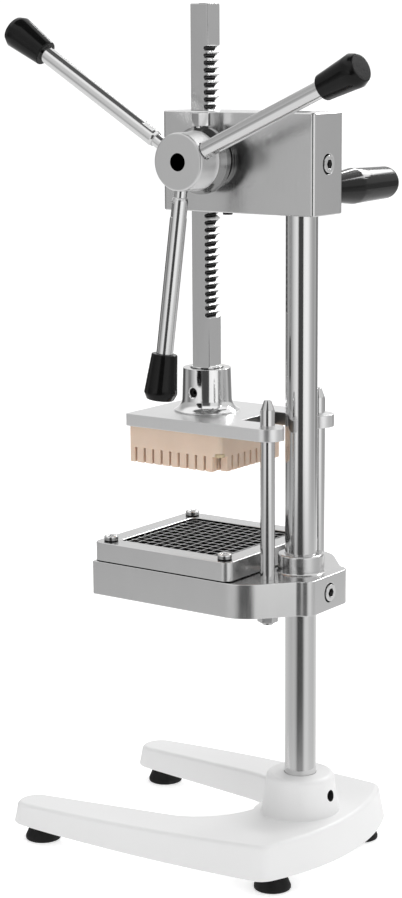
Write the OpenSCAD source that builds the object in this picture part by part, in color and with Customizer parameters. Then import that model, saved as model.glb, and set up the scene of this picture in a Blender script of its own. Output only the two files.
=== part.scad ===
// Vertical french fry cutter: a rack and pinion press on a round column.
// Millimetres, +Z up, -Y towards the open front, +X towards the handwheel.
// The working frame has the column axis at X = Y = 0; each node is then moved
// so that the origin is the centre of the bounding box at floor level.

/* [Column] */
// diameter of the round column
column_d = 30; // [28:0.5:32]
// how far the column stops below the top of the head
column_drop = 1; // [0.5:0.5:4]

/* [Base] */
// distance from the column to the tip of the toes
toe_tip = 266.5; // [262:0.5:272]
// radius of a toe's round end
toe_r = 21.5; // [20.5:0.25:23]
// largest half width of the casting
base_half_w = 125.3; // [124:0.1:128]
// distance of the widest place ahead of the column
widest_y = 178; // [160:1:185]
// radius of the casting's long sides
side_r = 1400; // [1200:20:1600]
// distance of the rounded rear corners' centres behind the column
heel_y = 16.5; // [14:0.5:19]
// radius of the rounded rear corners
heel_r = 20; // [18:0.5:22]
// radius of the rear edge
back_r = 235; // [215:5:255]
// radius of the inside of the U at the bottom
bay_r = 66; // [62:0.5:68]
// distance of the U's inner end ahead of the column
bay_end = 46; // [45.5:0.5:50]
// slope of the casting's walls, in degrees from upright
draft = 10.8; // [6:0.2:12]
// height of the casting at the tip of the toes
toe_h = 20.3; // [19:0.1:24]
// height of the casting at the rear edge
heel_h = 33.7; // [31:0.1:36]
// diameter of the column boss at its top
boss_d = 64; // [62:0.5:66]
// taper of the column boss on the radius
boss_taper = 7; // [3:0.5:8]
// height of the boss's top above the floor
boss_top = 87; // [82:0.5:92]
// rounding of the boss's top edge
boss_round = 7; // [4:0.5:9]
// floor left under the column in the boss
bore_floor = 7; // [5:0.5:9]
// height of the base's set screw above the floor
base_screw_z = 69; // [66:0.5:70]
// thread diameter of the base's set screw
base_screw_d = 10; // [8:0.5:10]

/* [Feet] */
// distance between the two front feet
foot_gap = 203; // [198:1:206]
// distance of the front feet ahead of the column
foot_front = 237; // [230:1:244]
// distance between the two rear feet
foot_rear_gap = 156; // [150:1:162]
// distance of the rear feet behind the column
foot_rear = 20; // [12:1:22]
// diameter of a rubber foot on the floor
foot_d = 34.8; // [32:0.2:36]
// height of a rubber foot
foot_h = 16.7; // [15:0.1:18]
// height of a foot's upright edge
foot_edge = 3; // [2:0.5:5]
// diameter of a foot at its top
foot_top_d = 23; // [21:0.5:28]
// diameter of a foot's screw
foot_screw_d = 5; // [4:0.5:6]
// how deep a foot's screw goes into the casting
foot_screw_in = 11; // [9:0.5:14]
// thickness of a foot screw's head
foot_screw_head = 3; // [2:0.5:4]

/* [Table] */
// half width of the table bracket
table_half_w = 79.2; // [78:0.2:82]
// distance of the table's front edge ahead of the column
table_front = 187.2; // [186.8:0.1:192]
// distance of the table's rear face behind the column
table_back = 32.5; // [30:0.5:36]
// height of the table's top face above the floor
table_top = 284.5; // [270:0.5:295]
// thickness of the table
table_h = 33; // [30:0.5:36]
// half width of the clamp boss at the rear
clamp_half_w = 36.2; // [35:0.2:38]
// rounding of the clamp boss's rear corners
clamp_round = 11; // [9:0.5:13]
// hollow where the clamp boss meets the slanted rear wall
clamp_hollow = 12; // [10:0.5:14]
// direction that the slanted rear wall faces, counted from the side
wall_angle = 49.5; // [47.5:0.5:51.5]
// distance of the rear corner centres ahead of the column
corner_y = 32; // [28:0.5:36]
// outer diameter of the collar round the column
collar_d = 43.2; // [41:0.2:46]
// height of the collar above the table
collar_h = 17.7; // [14:0.1:20]
// rounding at the collar's foot and rim
collar_round = 2; // [1:0.25:3]

/* [Blade frame] */
// side of the square blade frame
frame_w = 158; // [154:0.5:158]
// height of the blade frame
frame_h = 19; // [18:0.5:21]
// rounding of the frame's outer corners
frame_round = 8; // [6:0.5:10]
// rounding of the frame's inner corners
mouth_round = 5; // [3:0.5:6]
// pitch of the blades, which is the width of a fry
fry = 10; // [9.6:0.1:10.2]
// number of full cells in each direction
cells = 11; // [9:1:11]
// thickness of a blade
blade_t = 0.8; // [0.6:0.1:1]
// height of a blade
blade_h = 14; // [12:0.25:15]
// how deep a blade's end sits in the frame
blade_seat = 4; // [3:0.5:5]
// distance between the corner screws
frame_bolt_gap = 133; // [130:0.5:134]
// diameter of a corner screw's head
pan_d = 13.6; // [12:0.2:14]
// height of a corner screw's head
pan_h = 5.4; // [5:0.2:6.6]
// diameter of a corner screw's shank
frame_screw_d = 6; // [5:0.5:6]
// how deep a corner screw goes into the table
frame_screw_in = 14; // [10:1:18]

/* [Guide rods] */
// half distance between the guide rods
rod_x = 42.7; // [42:0.1:44]
// distance of the guide rods ahead of the column
rod_y = 9; // [7:0.5:11]
// diameter of a guide rod
rod_d = 13.6; // [12:0.1:14]
// height of the rods' tips above the floor
rod_tip = 452.3; // [445:0.5:460]
// length of the conical tip
tip_l = 10; // [8:0.5:12]
// diameter of the flat on the tip
tip_d = 6.6; // [5:0.2:8]
// diameter of the rods' threaded ends
rod_thread_d = 10; // [8:0.5:10]
// width across the flats of a rod's nut
rod_nut_af = 17; // [15:0.5:18]
// height of a rod's nut
rod_nut_h = 8; // [6:0.5:9]
// thread that stands out below the nut
rod_thread_out = 2.5; // [1:0.5:4]

/* [Head] */
// width of the head block
head_w = 49; // [48:0.5:52]
// distance of the head's front face ahead of the column
head_front = 139; // [135:0.5:144]
// distance of the head's rear face behind the column
head_back = 28.5; // [27:0.5:32]
// height of the head's underside above the floor
head_bottom = 619; // [612:0.5:622]
// height of the head block
head_h = 92; // [90:0.5:98]
// rounding of the head's upright edges
head_round = 3.5; // [2:0.5:4.5]
// counterbore diameter for the clamp screws
cap_bore_d = 18; // [17.5:0.25:20]
// head diameter of the clamp screws
cap_d = 16; // [15:0.25:17]
// head height of the clamp screws
cap_h = 6; // [5:0.5:7]
// thread diameter of the clamp screws
cap_thread_d = 10; // [8:0.5:10]
// how far the clamp screws' heads stand out of the rear faces
cap_out = 1.3; // [0.5:0.1:2]
// width across the flats of a clamp screw's socket
cap_hex = 8; // [6:0.5:8.5]
// depth of a clamp screw's socket
cap_hex_l = 4; // [3:0.25:4.5]
// diameter of the plug screw under the pinion
plug_d = 9.2; // [8:0.2:10]
// how far the plug screw stands out
plug_out = 3.9; // [2:0.1:5]

/* [Rack] */
// side of the square rack bar
rack_w = 20; // [19:0.25:20]
// distance of the rack's axis ahead of the column
rack_y = 107.3; // [106:0.1:108]
// height of the rack's top end above the floor
rack_top = 808.6; // [800:0.5:820]
// pitch of the rack's teeth
rack_pitch = 6.7; // [6.5:0.05:6.8]
// gullets above the pinion's axis
gullets_up = 15; // [13:1:16]
// gullets below the pinion's axis
gullets_down = 22; // [20:1:22]

/* [Handwheel] */
// height of the pinion's axis above the floor
hub_z = 667.5; // [664:0.5:670]
// teeth of the pinion
pinion_teeth = 16; // [15:1:17]
// face width of the pinion
pinion_w = 24; // [20:1:24]
// play between the pinion's and the rack's teeth
backlash = 0.3; // [0.25:0.05:0.4]
// diameter of the shaft
shaft_d = 16; // [15:0.25:17]
// how far the shaft runs on into the head's far wall
shaft_in = 8; // [6:0.5:9]
// how far the shaft's end lies behind the hub's face
shaft_back = 19; // [16:1:22]
// width of the pinion's key
key_w = 5; // [4:0.5:5]
// thickness of the bush's flange
bush_flange_h = 4; // [3:0.5:4.5]
// diameter of the bush's flange
bush_flange_d = 52; // [50:0.5:54]
// distance of the hub's front face from the middle plane
hub_face = 79; // [77:0.5:82]
// diameter of the hub's front part
hub_d = 53; // [51:0.5:54]
// length of the hub's cylindrical front part
hub_barrel = 22; // [20:0.5:24]
// diameter of the hub's rim
rim_d = 62; // [60:0.5:64]
// length of the hub's rim
rim_l = 6; // [4:0.5:7]
// diameter of the hub's neck behind the rim
neck_d = 49; // [46:0.5:50]
// gap between the hub and the bush
hub_gap = 0.5; // [0.4:0.1:1]
// width across the flats of the lock bolt
lock_af = 15.5; // [15:0.5:17]
// head height of the lock bolt
lock_h = 12; // [8:0.5:13]
// thread diameter of the lock bolt
lock_d = 10; // [8:0.5:10]
// direction of the lock bolt, counted from straight down
lock_angle = 180; // [176:0.5:184]

/* [Arms] */
// distance of the arms' plane behind the hub's front face
arm_back = 10.4; // [9.5:0.1:11]
// direction of the lower arm, counted from straight down to the rear
arm_low_angle = -5.3; // [-8:0.1:0]
// direction of the rear arm
arm_rear_angle = 113.6; // [112:0.1:118]
// direction of the front arm
arm_front_angle = 237.5; // [235:0.1:240]
// how far the arms lean away from the machine
arm_rake = 3.35; // [2:0.05:5]
// diameter of an arm
arm_d = 15.6; // [14:0.1:16]
// thread diameter at an arm's inner end
arm_thread_d = 12; // [11:0.25:12.5]
// distance of the lower arm's shoulder from the hub's axis
arm_seat = 32.8; // [32:0.1:34]
// how much deeper the rear arm is screwed in
rear_in = 7.3; // [6:0.1:7.5]
// how much further the front arm stands out
front_out = 2.8; // [0:0.1:4]
// distance from an arm's shoulder to its knob
arm_l = 143.5; // [136:0.1:148]
// thread of an arm inside the hub and in sight
arm_thread_l = 15; // [14:0.25:15]
// length of the cone at an arm's shoulder
arm_cone = 3; // [2:0.25:4]
// width across an arm's spanner flats
arm_flat_w = 13; // [12.5:0.25:14]
// length of the spanner flats
arm_flat_l = 13; // [11:0.5:15]
// distance of the spanner flats from the arm's shoulder
arm_flat_in = 5; // [4.5:0.25:7]

/* [Knobs] */
// length of a knob
knob_l = 43; // [38:0.2:46]
// diameter of a knob's inner end
knob_d1 = 24; // [22:0.5:26]
// diameter of a knob's outer end
knob_d2 = 31; // [29:0.5:33]
// how far the bevel at a knob's outer end comes in
knob_bevel = 3; // [2:0.25:4]
// length of the bevel at a knob's outer end
knob_bevel_l = 6.5; // [5:0.5:8]
// diameter of the stud in a knob
knob_stud_d = 8; // [6:0.5:9]
// depth of the stud in a knob
knob_stud_l = 28; // [24:1:32]

/* [Grip] */
// height of the grip's axis above the floor
grip_z = 639.4; // [637:0.1:643]
// length of the grip from the head's side
grip_l = 130.5; // [124:0.5:136]
// diameter of the grip at its foot
grip_d1 = 20; // [18:0.5:24]
// diameter of the grip at its ridge
grip_d2 = 34; // [33:0.2:36]
// diameter of the grip's body behind the ridge
grip_d3 = 32.8; // [31:0.2:33]
// diameter of the grip near its end
grip_d4 = 31; // [29:0.2:31]
// distance of the ridge from the head's side
ridge_l = 60; // [55:0.5:65]
// rounding of the grip's end
grip_round = 11; // [8:0.5:13]
// thread diameter of the grip's stud
grip_stud_d = 10; // [8:0.5:10]

/* [Pusher] */
// height of the plate's underside above the floor, at rest
plate_z = 415.7; // [410:0.5:420]
// thickness of the plate
plate_h = 12; // [11:0.5:13]
// distance of the plate's front edge ahead of the column
plate_front = 161.2; // [161:0.1:166]
// radius of the plate's ears
ear_r = 15.4; // [14.5:0.1:16]
// distance of the cut-out's front ahead of the column
notch_y = 48; // [46:0.5:50]
// height of the whole pusher block
pusher_h = 35; // [33:0.5:37]
// depth of the slots between its teeth
slot_h = 14.4; // [12:0.2:16]
// width of the slots between its teeth
slot_w = 2.5; // [2.2:0.1:3]
// rounding of the pusher's upright corners
pusher_round = 4; // [2:0.5:5]
// diameter of the pusher's screws
pusher_screw_d = 5; // [4:0.5:5]
// head diameter of the pusher's screws
pusher_screw_head_d = 9; // [8:0.25:9.5]
// head height of the pusher's screws
pusher_screw_head = 3; // [2.5:0.25:3.5]
// how deep the pusher's screws go into the plate
pusher_screw_in = 6; // [5:0.5:8]

/* [Socket] */
// height of the rack's socket up to its rim
socket_h = 41.7; // [38:0.1:44]
// diameter of the socket's rim
socket_d = 46; // [44:0.5:48]
// diameter of the socket's foot
socket_foot_d = 63; // [61:0.5:65]
// radius of the socket's flare
flare_r = 12; // [11:0.5:13]
// thickness of the socket's foot
socket_foot_h = 0.5; // [0.5:0.25:2]
// diameter of the collar round the rack on the socket's top
lip_d = 31.4; // [30.5:0.1:34]
// height of that collar
lip_h = 1.5; // [0.5:0.25:3]
// height of the socket's set screw above the plate
socket_screw_z = 19.5; // [18.5:0.25:21]
// thread diameter of the socket's set screw
socket_screw_d = 8; // [6:0.5:8]
// pitch circle radius of the socket's bolts
socket_bolt_r = 21; // [20:0.25:22]
// diameter of the socket's bolts
socket_bolt_d = 6; // [5:0.5:6]
// how deep the socket's bolts go into its foot
socket_bolt_in = 9; // [8:0.5:10]

/* [Clearances] */
// radial play of what slides or turns
run_gap = 0.08; // [0.05:0.01:0.1]
// play on each side of the rack in the head
slide_gap = 0.25; // [0.2:0.05:0.35]
// radial play of fixed pins, screws and bores
fit_gap = 0.1; // [0.05:0.01:0.15]

/* [Hidden] */
$fn = 96;
FINE = 192;
HEX = 6;
EPS = 0.01;
// how far a curve crosses the line it runs into, so that the two meet cleanly
LAP = 0.02;
FAR = 400;
PRESSURE_ANGLE = 20;
DEEPER = 1;
end_gap = 0.5;

// base
base_z = foot_h;
slope = tan(draft);
POST_SPARE = 4;
post_h = heel_h + POST_SPARE;
side_c = base_half_w - side_r;
toe_y = toe_tip - toe_r;
toe_x = side_c + sqrt(pow(side_r - toe_r, 2) - pow(toe_y - widest_y, 2));
heel_x = side_c + sqrt(pow(side_r - heel_r, 2) - pow(heel_y + widest_y, 2));
back_c = heel_y - sqrt(pow(back_r - heel_r, 2) - pow(heel_x, 2));
base_back = back_c + back_r;
bay_y = bay_end + bay_r;
bay_mouth_r = 2;
bay_mouth_x = toe_x - toe_r - bay_mouth_r;
boss_r = boss_d / 2;
column_r = column_d / 2;
column_z = base_z + bore_floor;
SET_HEX_SHARE = 0.5;
set_l = 10;
set_hex_l = 4;
POST_FN = 64;

// table and frame
table_z = table_top - table_h;
corner_r = table_half_w - rod_x;
wall_out = [cos(wall_angle), sin(wall_angle)];
wall_along = [sin(wall_angle), -cos(wall_angle)];
lobe_at = [rod_x, -corner_y];
boss_at = [clamp_half_w - clamp_round, table_back - clamp_round];
two_rounds = clamp_round + clamp_hollow;
hollow_out = (lobe_at - boss_at) * wall_out + corner_r + clamp_hollow;
hollow_at = boss_at + wall_out * hollow_out
    + wall_along * sqrt(max(0, pow(two_rounds, 2) - pow(hollow_out, 2)));
ram_y = -rack_y;
mouth_w = fry * (cells + 1);
blade_drop = 1.5;
blade_z = table_top + frame_h - blade_drop - blade_h;
blade_slot = blade_t + 2 * fit_gap;
blade_l = mouth_w + 2 * blade_seat;
frame_top = table_top + frame_h;
frame_bolt = frame_bolt_gap / 2;
CROSS_SHARE = 0.6;
cross_l = pan_d * CROSS_SHARE;
cross_w = 1.6;
cross_h = 2.4;
pan_round = 1.6;
rod_r = rod_d / 2;

// head
head_top = head_bottom + head_h;
column_top = head_top - column_drop;
head_half = head_w / 2;
head_mid = head_bottom + head_h / 2;
rack_half = rack_w / 2;

// rack and pinion
ROOT_MODULES = 1.25;
GULLET_MODULES = 2.2;
cavity_gap = 1.3;
key_inset = 2;
module_mm = rack_pitch / PI;
pitch_r = module_mm * pinion_teeth / 2;
tip_r = pitch_r + module_mm;
root_r = pitch_r - ROOT_MODULES * module_mm;
base_circle = pitch_r * cos(PRESSURE_ANGLE);
hub_y = ram_y + rack_half - module_mm + pitch_r;
gullet_h = GULLET_MODULES * module_mm;
gullet_round = 1.15;
plug_short = 2;
cavity_r = tip_r + cavity_gap;
cavity_x = -(pinion_w / 2 + end_gap);
bush_in = pinion_w / 2 + end_gap;
shaft_r = shaft_d / 2;
shaft_x0 = cavity_x - shaft_in;
shaft_x1 = hub_face - shaft_back;
bush_face = head_half + bush_flange_h;
key_l = pinion_w - 2 * key_inset;

// hub
hub_r = hub_d / 2;
rim_r = rim_d / 2;
barrel_x = hub_face - hub_barrel;
flare_l = 12;
rim_x1 = barrel_x - flare_l;
rim_x0 = rim_x1 - rim_l;
neck_x = bush_face + hub_gap;
lock_x = rim_x0 + rim_l / 2;
lock_turn = 23;
hub_round = 2.2;

// arms and knobs
arm_x = hub_face - arm_back;
arm_r = arm_d / 2;
seats = [arm_seat, arm_seat - rear_in, arm_seat + front_out];
turns = [arm_low_angle, arm_rear_angle, arm_front_angle];
arm_bore_in = 10;
arm_recess = 3.5;
ARM_LEDGE = 0.75;
// directions of the three arms' spanner flats about their own axes
FLAT_TURNS = [40, 80, 88];

// pusher
plate_top = plate_z + plate_h;
plate_half = rod_x + ear_r;
notch_half = rod_x - ear_r;
pusher_w = cells * fry - slot_w;
pusher_z = plate_z - pusher_h;
tooth = fry - slot_w;
pocket_row = (cells - 1) / 2;
pocket_in = 2;
driver_w = 1;
plate_round = 2;

// socket
socket_r = socket_d / 2;
socket_foot_r = socket_foot_d / 2;
socket_top = plate_top + socket_h;
socket_taper = 0.9;
SCREW_MOUTH = 0.6;
rack_hole = rack_w + 2 * fit_gap;

// grip
grip_stud_in = 7;
grip_stud_out = 60;
groove_l = 18;

// the bounding box at rest, for the origin
knob_edges = [[arm_l + knob_l - knob_bevel_l, knob_d2 / 2],
    [arm_l + knob_l, knob_d2 / 2 - knob_bevel]];
function arm_dir(t) =
    [sin(arm_rake), sin(t) * cos(arm_rake), -cos(t) * cos(arm_rake)];
// how far knob i reaches along an axis from the hub, one way (1) or the other (-1)
function reach(i, axis, way) = let (d = arm_dir(turns[i])[axis])
    max([for (e = knob_edges) way * d * (seats[i] + e[0]) + e[1] * sqrt(1 - d * d)]);
box_x1 = max(base_half_w, max([for (i = [0:2]) arm_x + reach(i, 0, 1)]));
box_x0 = -(head_half + grip_l);
box_y1 = max(table_back, base_back, max([for (i = [0:2]) hub_y + reach(i, 1, 1)]));
box_y0 = min(-toe_tip, min([for (i = [0:2]) hub_y - reach(i, 1, -1)]));
origin_x = (box_x0 + box_x1) / 2;
origin_y = (box_y0 + box_y1) / 2;

// ---- shared helpers ----

module placed() {
    translate([-origin_x, -origin_y, 0]) children();
}

module both_sides() {
    children();
    mirror([1, 0, 0]) children();
}

module along_x(x0, length, r, facets = 96) {
    translate([x0, 0, 0]) rotate([0, 90, 0]) cylinder(h = length, r = r, $fn = facets);
}

module along_y(y0, length, r, facets = 96) {
    translate([0, y0, 0]) rotate([-90, 0, 0]) cylinder(h = length, r = r, $fn = facets);
}

module rounded_square(w, l, r) {
    square([w - 2 * r, l], center = true);
    square([w, l - 2 * r], center = true);
    for (x = [-1, 1]) for (y = [-1, 1])
        translate([x * (w / 2 - r), y * (l / 2 - r)]) circle(r = r);
}

module at_ram() {
    translate([0, ram_y, 0]) children();
}

module at_hub() {
    translate([0, hub_y, hub_z]) children();
}

module at_feet() {
    for (s = [-1, 1]) {
        translate([s * foot_gap / 2, -foot_front, 0]) children();
        translate([s * foot_rear_gap / 2, foot_rear, 0]) children();
    }
}

module at_rods() {
    for (s = [-1, 1]) translate([s * rod_x, -rod_y, 0]) children();
}

module at_frame_bolts() {
    for (x = [-1, 1]) for (y = [-1, 1])
        translate([x * frame_bolt, ram_y + y * frame_bolt, 0]) children();
}

module at_pusher_screws() {
    for (s = [-1, 1]) {
        translate([s * pocket_row * fry, ram_y + pocket_row * fry, 0]) children();
        translate([s * pocket_in * fry, ram_y - (pocket_row - 1) * fry, 0]) children();
    }
}

module at_socket_bolts() {
    for (a = [45:90:315]) rotate([0, 0, a]) translate([socket_bolt_r, 0, 0]) children();
}

// set screw pointing at the axis, its hexagon socket outwards
module set_screw_y(y0, d) {
    difference() {
        along_y(y0, set_l, d / 2);
        along_y(y0 + set_l - set_hex_l, FAR, d / 2 * SET_HEX_SHARE, HEX);
    }
}

// socket-head clamp screw along -Y, its head in a counterbore of the rear face
module cap_screw(face_y, tip_y) {
    head_y = face_y + cap_out - cap_h;
    difference() {
        union() {
            along_y(head_y, cap_h, cap_d / 2);
            along_y(tip_y, head_y - tip_y, cap_thread_d / 2);
        }
        along_y(head_y + cap_h - cap_hex_l, FAR, cap_hex / sqrt(3), HEX);
    }
}

module cap_bore(face_y) {
    head_y = face_y + cap_out - cap_h;
    along_y(head_y, cap_h, cap_bore_d / 2);
    along_y(0, head_y + EPS, cap_thread_d / 2 + fit_gap);
}

// ---- standing part ----

// drafted post of the casting: narrower towards the top
module post(x, y, r, facets = 96) {
    translate([x, y, base_z])
        cylinder(h = post_h, r1 = r, r2 = r - slope * post_h, $fn = facets);
}

// drafted post of the opening: wider towards the top
module hollow_post(x, y, r) {
    translate([x, y, base_z - EPS])
        cylinder(h = post_h, r1 = r, r2 = r + slope * post_h, $fn = POST_FN);
}

module base_outside() {
    intersection() {
        post(side_c, -widest_y, side_r, FINE);
        post(-side_c, -widest_y, side_r, FINE);
        translate([-FAR / 2, -toe_y, base_z]) cube([FAR, toe_y + heel_y, post_h]);
    }
    intersection() {
        post(0, back_c, back_r, FINE);
        translate([-heel_x, 0, base_z]) cube([2 * heel_x, FAR, post_h]);
    }
    both_sides() {
        post(toe_x, -toe_y, toe_r);
        post(heel_x, heel_y, heel_r);
    }
}

module base_bay() {
    hull() {
        hollow_post(0, -bay_y, bay_r);
        both_sides() {
            hollow_post(bay_mouth_x, -toe_y, bay_mouth_r);
            hollow_post(bay_mouth_x, -FAR, bay_mouth_r);
        }
    }
}

module base_side() {
    rotate([90, 0, 90]) translate([0, 0, -FAR / 2]) linear_extrude(height = FAR)
        polygon([[-toe_tip, base_z], [base_back, base_z], [base_back, base_z + heel_h],
            [-toe_tip, base_z + toe_h]]);
}

module boss() {
    rotate_extrude() {
        polygon([[0, base_z], [boss_r + boss_taper, base_z],
            [boss_r, boss_top - boss_round], [boss_r - boss_round, boss_top - boss_round],
            [boss_r - boss_round, boss_top], [0, boss_top]]);
        translate([boss_r - boss_round, boss_top - boss_round]) intersection() {
            circle(r = boss_round);
            square(boss_round);
        }
    }
}

module base() {
    color("white") placed() difference() {
        union() {
            intersection() {
                difference() {
                    base_outside();
                    base_bay();
                }
                base_side();
            }
            boss();
        }
        translate([0, 0, column_z]) cylinder(h = FAR, r = column_r + fit_gap);
        translate([0, 0, base_screw_z]) along_y(0, FAR, base_screw_d / 2 + fit_gap);
        at_feet() translate([0, 0, base_z - EPS])
            cylinder(h = foot_screw_in + DEEPER, r = foot_screw_d / 2 + fit_gap);
    }
}

module feet() {
    color("black") placed() at_feet() difference() {
        rotate_extrude() polygon([[0, 0], [foot_d / 2, 0], [foot_d / 2, foot_edge],
            [foot_top_d / 2, foot_h], [0, foot_h]]);
        translate([0, 0, -EPS]) cylinder(h = foot_h + 2 * EPS, r = foot_screw_d / 2 + fit_gap);
        translate([0, 0, -EPS]) cylinder(h = foot_h / 2 + EPS, r = foot_screw_d + fit_gap);
    }
}

module foot_screws() {
    color("silver") placed() at_feet() {
        translate([0, 0, foot_h / 2 - EPS])
            cylinder(h = foot_h / 2 + foot_screw_in, r = foot_screw_d / 2);
        translate([0, 0, foot_h / 2 - foot_screw_head])
            cylinder(h = foot_screw_head, r = foot_screw_d);
    }
}

module base_screw() {
    color("dimgray") placed() translate([0, 0, base_screw_z]) set_screw_y(column_r, base_screw_d);
}

module column() {
    color("silver") placed() translate([0, 0, column_z])
        cylinder(h = column_top - column_z, r = column_r);
}

module table_plan() {
    translate([-table_half_w, -table_front]) square([2 * table_half_w, table_front - corner_y]);
    both_sides() {
        difference() {
            polygon([[0, -corner_y], lobe_at, lobe_at + wall_out * (corner_r - LAP),
                hollow_at - wall_out * (clamp_hollow + LAP), hollow_at, boss_at,
                [boss_at[0], table_back], [0, table_back]]);
            translate(hollow_at) circle(r = clamp_hollow + 2 * LAP);
        }
        translate(boss_at) circle(r = clamp_round);
        translate(lobe_at) circle(r = corner_r);
    }
}

module collar() {
    r = collar_d / 2;
    rotate_extrude() {
        difference() {
            polygon([[0, table_z], [r + collar_round, table_z],
                [r + collar_round, table_top + collar_round], [r, table_top + collar_round],
                [r, table_top + collar_h - collar_round],
                [r - collar_round, table_top + collar_h - collar_round],
                [r - collar_round, table_top + collar_h], [0, table_top + collar_h]]);
            translate([r + collar_round, table_top + collar_round]) circle(r = collar_round);
        }
        translate([r - collar_round, table_top + collar_h - collar_round])
            circle(r = collar_round);
    }
}

module table() {
    color("lightgray") placed() difference() {
        union() {
            translate([0, 0, table_z]) linear_extrude(height = table_h) table_plan();
            collar();
        }
        at_ram() translate([0, 0, table_z - EPS]) linear_extrude(height = table_h + 2 * EPS)
            rounded_square(mouth_w, mouth_w, mouth_round);
        translate([0, 0, table_z - EPS]) cylinder(h = FAR, r = column_r + fit_gap);
        at_rods() translate([0, 0, table_z - EPS])
            cylinder(h = table_h + 2 * EPS, r = rod_thread_d / 2 + fit_gap);
        at_frame_bolts() translate([0, 0, table_top - frame_screw_in - DEEPER])
            cylinder(h = FAR, r = frame_screw_d / 2 + fit_gap);
        translate([0, 0, table_z + table_h / 2]) cap_bore(table_back);
    }
}

module table_screw() {
    color("dimgray") placed() translate([0, 0, table_z + table_h / 2])
        cap_screw(table_back, column_r);
}

module blade_slots() {
    for (i = [0:cells]) translate([0, (i - cells / 2) * fry, blade_z + blade_h / 2])
        cube([blade_l + 2 * fit_gap, blade_slot, blade_h + 2 * fit_gap], center = true);
}

module blade_frame() {
    color("gainsboro") placed() at_ram() difference() {
        translate([0, 0, table_top]) linear_extrude(height = frame_h) difference() {
            rounded_square(frame_w, frame_w, frame_round);
            rounded_square(mouth_w, mouth_w, mouth_round);
        }
        blade_slots();
        rotate([0, 0, 90]) blade_slots();
        translate([0, -ram_y, table_top - EPS]) at_frame_bolts()
            cylinder(h = frame_h + 2 * EPS, r = frame_screw_d / 2 + fit_gap);
    }
}

// side view of a blade about its middle: notched down to half its height for
// each blade that crosses it
module blade_side() {
    mid = -fit_gap;
    polygon(concat([[-blade_l / 2, -blade_h / 2], [blade_l / 2, -blade_h / 2],
        [blade_l / 2, blade_h / 2]], [for (i = [cells:-1:0]) for (k = [0:3])
            [(i - cells / 2) * fry + (k < 2 ? 1 : -1) * blade_slot / 2,
                k == 0 || k == 3 ? blade_h / 2 : mid]],
        [[-blade_l / 2, blade_h / 2]]));
}

// blades along X, side by side
module blades(notched_above) {
    for (i = [0:cells])
        translate([0, (i - cells / 2) * fry + blade_t / 2, blade_z + blade_h / 2])
            rotate([notched_above ? 90 : -90, 0, 0])
                translate([0, 0, notched_above ? 0 : -blade_t])
                    linear_extrude(height = blade_t) blade_side();
}

module blades_across() {
    color("silver") placed() at_ram() blades(false);
}

module blades_along() {
    color("silver") placed() at_ram() rotate([0, 0, 90]) blades(true);
}

module frame_screws() {
    color("silver") placed() at_frame_bolts() difference() {
        union() {
            translate([0, 0, table_top - frame_screw_in])
                cylinder(h = frame_screw_in + frame_h + EPS, r = frame_screw_d / 2);
            translate([0, 0, frame_top]) rotate_extrude() {
                square([pan_d / 2, pan_h - pan_round]);
                square([pan_d / 2 - pan_round, pan_h]);
                translate([pan_d / 2 - pan_round, pan_h - pan_round]) intersection() {
                    circle(r = pan_round);
                    square(pan_round);
                }
            }
        }
        for (a = [0, 90]) translate([0, 0, frame_top + pan_h]) rotate([0, 0, a])
            cube([cross_l, cross_w, 2 * cross_h], center = true);
    }
}

module guide_rods() {
    color("silver") placed() at_rods() {
        translate([0, 0, table_top]) cylinder(h = rod_tip - tip_l - table_top, r = rod_r);
        translate([0, 0, rod_tip - tip_l]) cylinder(h = tip_l, r1 = rod_r, r2 = tip_d / 2);
        translate([0, 0, table_z - rod_nut_h - rod_thread_out])
            cylinder(h = table_h + rod_nut_h + rod_thread_out + EPS, r = rod_thread_d / 2);
    }
}

module rod_nuts() {
    color("silver") placed() at_rods() translate([0, 0, table_z - rod_nut_h]) difference() {
        cylinder(h = rod_nut_h, r = rod_nut_af / sqrt(3), $fn = HEX);
        translate([0, 0, -EPS]) cylinder(h = rod_nut_h + 2 * EPS, r = rod_thread_d / 2 + fit_gap);
    }
}

module head() {
    slot = rack_w + 2 * slide_gap;
    color("lightgray") placed() difference() {
        translate([0, (head_back - head_front) / 2, head_bottom]) linear_extrude(height = head_h)
            rounded_square(head_w, head_front + head_back, head_round);
        translate([0, 0, head_bottom - EPS]) cylinder(h = FAR, r = column_r + fit_gap);
        translate([0, ram_y, head_mid]) cube([slot, slot, head_h + 2 * EPS], center = true);
        at_hub() {
            along_x(cavity_x, head_half - cavity_x + EPS, cavity_r);
            along_x(shaft_x0 - end_gap, FAR, shaft_r + run_gap);
        }
        translate([0, 0, head_mid]) cap_bore(head_back);
        translate([0, hub_y, head_bottom - EPS])
            cylinder(h = hub_z - head_bottom, r = plug_d / 2 + fit_gap);
        translate([0, 0, grip_z]) along_x(-head_half - EPS,
            grip_stud_in + DEEPER, grip_stud_d / 2 + fit_gap);
    }
}

module head_screw() {
    color("dimgray") placed() translate([0, 0, head_mid]) cap_screw(head_back, column_r);
}

module bush() {
    color("silver") placed() at_hub() difference() {
        union() {
            along_x(bush_in, head_half - bush_in + EPS, cavity_r - fit_gap);
            along_x(head_half, bush_flange_h, bush_flange_d / 2);
        }
        along_x(0, FAR, shaft_r + run_gap);
    }
}

module plug_screw() {
    plug_l = hub_z - cavity_r - plug_short - head_bottom;
    color("black") placed() translate([0, hub_y, head_bottom - plug_out])
        cylinder(h = plug_l + plug_out, r = plug_d / 2);
}

module grip_stud() {
    color("dimgray") placed() translate([0, 0, grip_z])
        along_x(-head_half - grip_stud_out, grip_stud_in + grip_stud_out, grip_stud_d / 2);
}

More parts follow.
